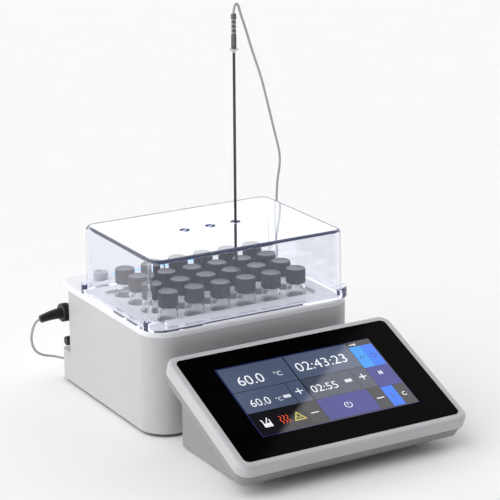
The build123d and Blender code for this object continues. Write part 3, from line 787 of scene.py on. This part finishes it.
tile_materials = {
    "slate": lit_tile("tile_slate", (0.068, 0.092, 0.160), (0.110, 0.140, 0.225), 0.9),
    "slate_dim": lit_tile("tile_slate_dim", (0.055, 0.070, 0.105), (0.068, 0.085, 0.125), 0.9),
    "black": lit_tile("tile_black", (0.003, 0.003, 0.006), (0.006, 0.006, 0.010), 0.6),
    "indigo": lit_tile("tile_indigo", (0.018, 0.022, 0.240), (0.030, 0.034, 0.300), 0.9),
    "blue": lit_tile("tile_blue", (0.0, 0.140, 0.850), (0.002, 0.180, 0.950), 1.0),
    "cyan": lit_tile("tile_cyan", (0.0, 0.260, 0.850), (0.004, 0.320, 0.950), 1.0),
    "grey": lit_tile("tile_grey", (0.022, 0.022, 0.025), (0.032, 0.032, 0.036), 0.8),
    "white": lit_tile("tile_white", (0.80, 0.83, 0.90), (0.90, 0.93, 0.98), 1.1),
    "red": lit_tile("tile_red", (0.80, 0.08, 0.03), (0.90, 0.14, 0.05), 1.0),
    "yellow": lit_tile("tile_yellow", (0.75, 0.62, 0.10), (0.85, 0.74, 0.16), 1.0),
    "navy": lit_tile("tile_navy", (0.020, 0.030, 0.160), (0.028, 0.040, 0.200), 0.9),
}
TILE_ORDER = list(tile_materials)


def on_screen(u, v):
    """Millimetres on the pad's face from shares of the screen, across and down."""
    return ((u - 0.5) * SCREEN_W, SCREEN_UP + (0.5 - v) * SCREEN_H)


def tile(bm, u0, u1, v0, v1, colour, gap=0.35, low=0.02, high=0.06):
    x0, y1 = on_screen(u0, v0)
    x1, y0 = on_screen(u1, v1)
    outline = [(x0 + gap, y0 + gap), (x1 - gap, y0 + gap), (x1 - gap, y1 - gap), (x0 + gap, y1 - gap)]
    outline = [(x * MM, y * MM) for x, y in outline]
    plate(bm, outline, (GLASS_TOP + low) * MM, (GLASS_TOP + high) * MM, TILE_ORDER.index(colour), PAD)


def make_tiles():
    bm = bmesh.new()
    rows = (0.03, 0.366, 0.674, 0.985)
    tile(bm, 0.0, 1.0, 0.0, 1.0, "navy", 0.0, 0.0, 0.015)
    tile(bm, 0.004, 0.996, 0.006, 0.994, "black", 0.0, 0.016, 0.03)
    tile(bm, 0.006, 0.425, rows[0] - 0.02, rows[1], "slate", 0.3, 0.035, 0.06)
    tile(bm, 0.429, 0.843, rows[0] - 0.02, rows[1], "slate", 0.3, 0.035, 0.06)
    tile(bm, 0.006, 0.330, rows[1], rows[2], "slate", 0.3, 0.035, 0.06)
    tile(bm, 0.330, 0.425, rows[1], rows[2], "slate", 0.3, 0.035, 0.06)
    tile(bm, 0.429, 0.745, rows[1], rows[2], "slate_dim", 0.3, 0.035, 0.06)
    tile(bm, 0.745, 0.843, rows[1], rows[2], "slate_dim", 0.3, 0.035, 0.06)
    tile(bm, 0.330, 0.425, rows[2], rows[3], "grey", 0.3, 0.035, 0.06)
    tile(bm, 0.429, 0.760, rows[2], rows[3], "indigo", 0.3, 0.035, 0.06)
    tile(bm, 0.760, 0.843, rows[2], rows[3], "grey", 0.3, 0.035, 0.06)
    tile(bm, 0.843, 0.920, 0.075, 0.400, "cyan", 0.15, 0.035, 0.06)
    tile(bm, 0.920, 0.994, 0.075, 0.400, "blue", 0.15, 0.035, 0.06)
    tile(bm, 0.843, 0.994, 0.400, 0.700, "indigo", 0.15, 0.035, 0.06)
    tile(bm, 0.843, 0.920, 0.700, rows[3], "blue", 0.15, 0.035, 0.06)
    tile(bm, 0.920, 0.994, 0.700, rows[3], "grey", 0.15, 0.035, 0.06)
    mesh = mesh_from(bm, "screen_tiles", 30)
    for material in tile_materials.values():
        mesh.materials.append(material)
    add_object("screen_tiles", mesh, "pad")


def add_lettering(bm, text, u, v, width, height, low, high, index):
    """Digits or signs, centred on the screen at (u, v) and fitted to a width and height in millimetres."""
    curve = bpy.data.curves.new("lettering", "FONT")
    curve.body = text
    curve.offset = -0.004
    holder = bpy.data.objects.new("lettering", curve)
    bpy.context.scene.collection.objects.link(holder)
    bpy.context.view_layer.update()
    mesh = bpy.data.meshes.new_from_object(holder)
    bpy.data.objects.remove(holder)
    bpy.data.curves.remove(curve)
    xs = [p.co.x for p in mesh.vertices]
    ys = [p.co.y for p in mesh.vertices]
    x0, y0 = min(xs), min(ys)
    sx = width / (max(xs) - x0)
    sy = height / (max(ys) - y0)
    cx, cy = on_screen(u, v)
    local = bmesh.new()
    local.from_mesh(mesh)
    bpy.data.meshes.remove(mesh)
    bmesh.ops.dissolve_limit(local, angle_limit=0.01, verts=local.verts, edges=local.edges)
    for p in local.verts:
        x = cx - width / 2 + (p.co.x - x0) * sx
        y = cy - height / 2 + (p.co.y - y0) * sy
        p.co = Vector((x * MM, y * MM, low * MM))
    made = bmesh.ops.extrude_face_region(local, geom=local.faces[:])
    for p in made["geom"]:
        if isinstance(p, bmesh.types.BMVert):
            p.co.z = high * MM
    for face in local.faces:
        face.material_index = index
    bmesh.ops.transform(local, matrix=PAD, verts=local.verts)
    part = bpy.data.meshes.new("part")
    local.to_mesh(part)
    local.free()
    bm.from_mesh(part)
    bpy.data.meshes.remove(part)


def bar(bm, u, v, w, h, colour, low=0.065, high=0.09):
    cx, cy = on_screen(u, v)
    corners = ((-1, -1), (1, -1), (1, 1), (-1, 1))
    outline = [(cx + sx * w / 2, cy + sy * h / 2) for sx, sy in corners]
    shape = [(x * MM, y * MM) for x, y in outline]
    plate(bm, shape, (GLASS_TOP + low) * MM, (GLASS_TOP + high) * MM, TILE_ORDER.index(colour), PAD)


def stroke(bm, points, thick, colour, closed=False, low=0.065, high=0.09):
    """A line of even width through points, in millimetres on the pad's face."""
    n = len(points)
    pairs = [(i, (i + 1) % n) for i in range(n if closed else n - 1)]
    for i, j in pairs:
        (ax, ay), (bx, by) = points[i], points[j]
        long = hypot(bx - ax, by - ay)
        dx, dy = (bx - ax) / long, (by - ay) / long
        ax, ay, bx, by = ax - dx * thick / 3, ay - dy * thick / 3, bx + dx * thick / 3, by + dy * thick / 3
        ox, oy = -dy * thick / 2, dx * thick / 2
        outline = [(ax - ox, ay - oy), (bx - ox, by - oy), (bx + ox, by + oy), (ax + ox, ay + oy)]
        shape = [(x * MM, y * MM) for x, y in outline]
        plate(bm, shape, (GLASS_TOP + low) * MM, (GLASS_TOP + high) * MM, TILE_ORDER.index(colour), PAD)


def circle_points(cx, cy, r, n=28, start=0.0, end=2 * pi):
    angles = [start + (end - start) * i / n for i in range(n)]
    return [(cx + r * cos(a), cy + r * sin(a)) for a in angles]


def keyboard(bm, u, v):
    bar(bm, u, v, 6.6, 3.4, "white")
    for row in range(2):
        for k in range(4):
            cx, cy = on_screen(u, v)
            x = cx + (k - 1.5) * 1.5
            y = cy + (0.5 - row) * 1.3
            stroke(bm, [(x - 0.35, y), (x + 0.35, y)], 0.45, "slate", low=0.092, high=0.1)


def make_signs():
    bm = bmesh.new()
    white = TILE_ORDER.index("white")
    low, high = GLASS_TOP + 0.065, GLASS_TOP + 0.09
    words = (
        ("60.0", 0.160, 0.225, 24.5, 11.0),
        ("°C", 0.335, 0.220, 7.6, 5.6),
        ("02:43:23", 0.622, 0.198, 50.0, 10.6),
        ("60.0", 0.124, 0.545, 18.5, 8.6),
        ("°C", 0.238, 0.560, 6.0, 4.6),
        ("02:55", 0.536, 0.530, 25.5, 8.4),
    )
    for text, u, v, width, height in words:
        add_lettering(bm, text, u, v, width, height, low, high, white)
    for u, v in ((0.378, 0.515), (0.795, 0.505)):
        bar(bm, u, v, 7.4, 1.1, "white")
        bar(bm, u, v, 1.1, 7.4, "white", 0.0651, 0.0901)
    for u, v in ((0.378, 0.835), (0.802, 0.835)):
        bar(bm, u, v, 7.4, 1.0, "white")
    keyboard(bm, 0.292, 0.545)
    keyboard(bm, 0.697, 0.515)
    # beaker with a stirring rod
    cx, cy = on_screen(0.078, 0.835)
    beaker = [(-4.2, 4.2), (-3.3, 3.4), (-3.3, -4.2), (3.3, -4.2), (3.3, 3.4)]
    beaker = [(cx + x, cy + y) for x, y in beaker]
    stroke(bm, beaker, 1.1, "white")
    stroke(bm, [(cx - 2.4, cy - 1.8), (cx + 2.4, cy - 1.8)], 3.2, "white")
    stroke(bm, [(cx - 0.6, cy + 0.4), (cx + 2.3, cy + 5.6)], 1.0, "white")
    # heat waves
    for k in range(3):
        cx, cy = on_screen(0.165 + 0.022 * k, 0.835)
        wave = [(cx + 0.9 * sin(i * 0.9), cy - 4.6 + i * 0.84) for i in range(12)]
        stroke(bm, wave, 0.8, "red")
    # hot-surface triangle
    cx, cy = on_screen(0.275, 0.835)
    stroke(bm, [(cx - 5.2, cy - 4.2), (cx + 5.2, cy - 4.2), (cx, cy + 4.8)], 0.9, "yellow", closed=True)
    for k in range(3):
        x = cx - 1.8 + 1.8 * k
        stroke(bm, [(x + 0.25 * sin(i * 1.3), cy - 2.6 + i * 0.6) for i in range(5)], 0.5, "yellow")
    # timer
    cx, cy = on_screen(0.594, 0.830)
    stroke(bm, circle_points(cx, cy, 3.3, 28, radians(120), radians(420)), 0.7, "white")
    stroke(bm, [(cx, cy), (cx, cy + 3.2)], 0.7, "white")
    # pause bars and two small signs
    for dx in (-0.007, 0.007):
        bar(bm, 0.915 + dx, 0.500, 1.3, 4.2, "white")
    cx, cy = on_screen(0.880, 0.245)
    wiggle = [(-2.6, -1.6), (-1.0, 1.4), (0.8, -0.8), (2.6, 1.8)]
    stroke(bm, [(cx + x, cy + y) for x, y in wiggle], 0.6, "navy")
    cx, cy = on_screen(0.957, 0.245)
    stroke(bm, circle_points(cx, cy, 2.2, 20), 0.6, "navy", closed=True)
    cx, cy = on_screen(0.882, 0.845)
    stroke(bm, [(cx - 1.6, cy - 2.2), (cx + 1.6, cy), (cx - 1.6, cy + 2.2)], 0.7, "navy")
    cx, cy = on_screen(0.957, 0.845)
    stroke(bm, circle_points(cx, cy, 2.0, 20, radians(60), radians(330)), 0.7, "white")
    for k in range(4):
        bar(bm, 0.858 + 0.012 * k, 0.045, 1.1, 1.0 + 0.5 * k, "white", 0.035, 0.06)
    mesh = mesh_from(bm, "screen_signs", 30)
    for material in tile_materials.values():
        mesh.materials.append(material)
    add_object("screen_signs", mesh, "pad")


make_tiles()
make_signs()

# ---------------------------------------------------------------- the joint between the pad's two halves, and the painted shade in it


def rounded_outline(half_w, half_h, corner, steps=8):
    points = []
    for sx, sy, start in ((1, 1, 0.0), (-1, 1, pi / 2), (-1, -1, pi), (1, -1, 1.5 * pi)):
        for i in range(steps + 1):
            a = start + pi / 2 * i / steps
            x = sx * (half_w - corner) + corner * cos(a)
            y = sy * (half_h - corner) + corner * sin(a)
            points.append((x, y))
    return points


def make_joint():
    """A black strip, set back a little in the joint all round the pad: painted shade standing in for the dark
    of the gap between the two halves.
    """
    bm = bmesh.new()
    set_back, strip_depth = 0.45, 2.2
    section = (
        (set_back, SEAM_TOP),
        (set_back, SEAM_BOTTOM),
        (strip_depth, SEAM_BOTTOM),
        (strip_depth, SEAM_TOP),
    )
    loops = []
    for inset, z in section:
        outline = rounded_outline(PAD_W / 2 - inset, PAD_H / 2 - inset, PAD_CORNER - inset)
        loops.append([bm.verts.new(PAD @ Vector((x * MM, y * MM, z * MM))) for x, y in outline])
    for a, b in zip(loops, loops[1:] + loops[:1]):
        join_rings(bm, a, b)
    # The rubber slot's near-black colour paints the shade of the gap.
    add_object("pad_joint_shade_strip", mesh_from(bm, "pad_joint_shade_strip", 30), "pad", materials["rubber"])


make_joint()

# ---------------------------------------------------------------- last update of the scene

bpy.context.view_layer.update()
